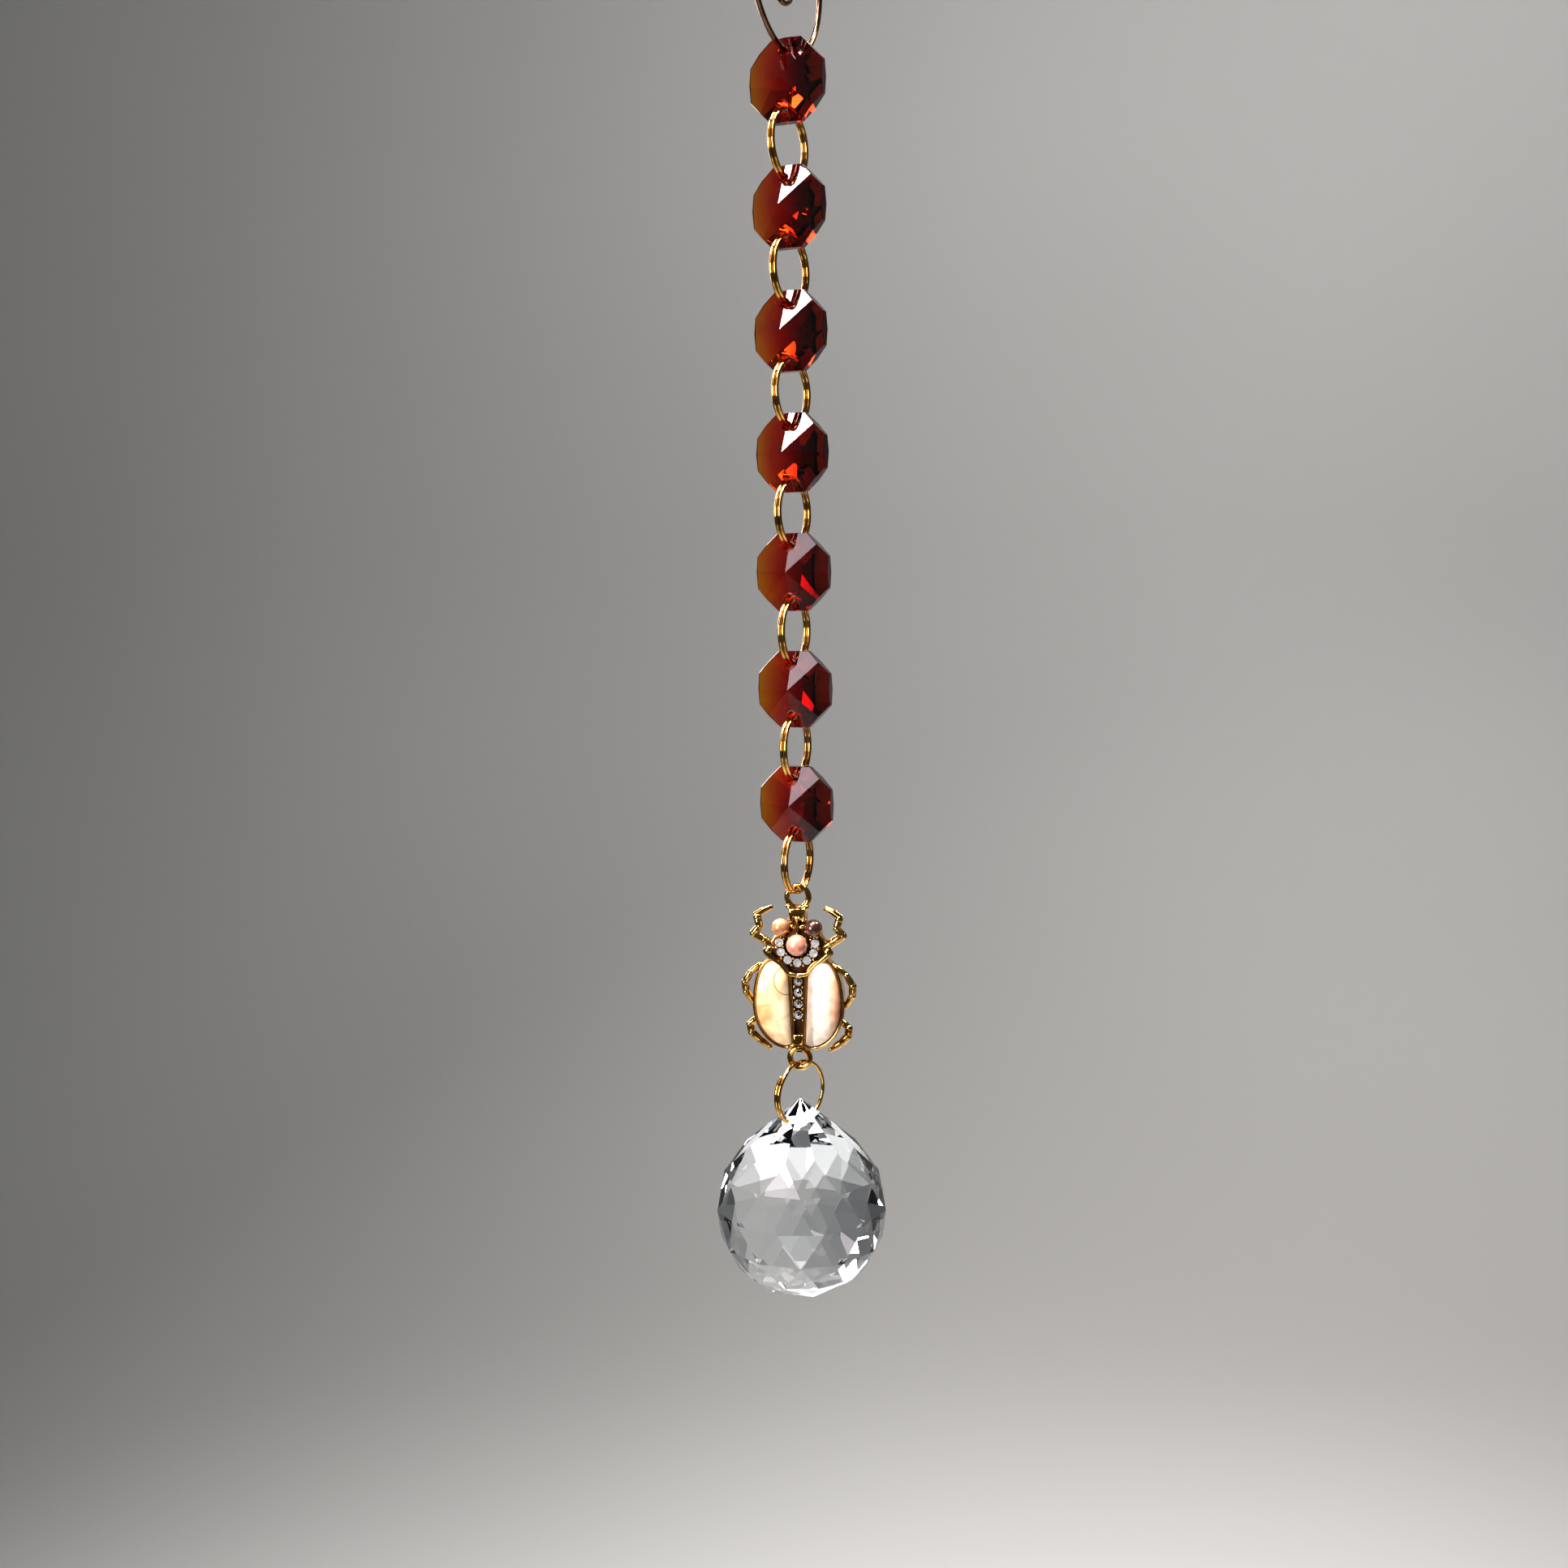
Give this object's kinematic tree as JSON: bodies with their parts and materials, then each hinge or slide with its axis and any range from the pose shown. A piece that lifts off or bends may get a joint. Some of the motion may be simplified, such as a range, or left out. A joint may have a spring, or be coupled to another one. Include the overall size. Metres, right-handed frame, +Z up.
{
  "type": "crystal suncatcher",
  "caption": "Hanging suncatcher: amber octagon beads on gilt split rings, a jewelled beetle charm and a clear faceted ball below a wire ring.",
  "frame": {"origin": "inner top of the hanging ring, the point that a hook carries", "axes": "+Z up along the hanging chain, -Y towards the beads' front faces, +X to the right of someone who faces them"},
  "size_m": [0.0324, 0.0324, 0.255],
  "materials": {
    "bronze_wire": "aged bronze, satin",
    "gilt": "polished gilt",
    "amber_glass": "clear polished cut glass",
    "clear_glass": "clear polished cut glass",
    "mother_of_pearl": "polished shell, lustrous",
    "peach_pearl": "pearl lustre",
    "copper_pearl": "pearl lustre"
  },
  "bodies": {
    "root": {"hanging_ring": "bronze_wire", "octagon_bead_1": "amber_glass", "octagon_bead_2": "amber_glass", "octagon_bead_3": "amber_glass", "octagon_bead_4": "amber_glass", "octagon_bead_5": "amber_glass", "octagon_bead_6": "amber_glass", "octagon_bead_7": "amber_glass", "split_ring_1": "gilt", "split_ring_2": "gilt", "split_ring_3": "gilt", "split_ring_4": "gilt", "split_ring_5": "gilt", "split_ring_6": "gilt", "split_ring_7": "gilt", "scarab_body": "gilt", "wing_inlay_left": "mother_of_pearl", "wing_inlay_right": "mother_of_pearl", "eye_pearl_left": "peach_pearl", "eye_pearl_right": "copper_pearl", "collar_pearl": "peach_pearl", "collar_stone_1": "clear_glass", "collar_stone_2": "clear_glass", "collar_stone_3": "clear_glass", "collar_stone_4": "clear_glass", "collar_stone_5": "clear_glass", "collar_stone_6": "clear_glass", "collar_stone_7": "clear_glass", "spine_stone_1": "clear_glass", "spine_stone_2": "clear_glass", "spine_stone_3": "clear_glass", "spine_stone_4": "clear_glass", "ball_ring": "gilt", "crystal_ball": "clear_glass"}
  },
  "joints": []
}
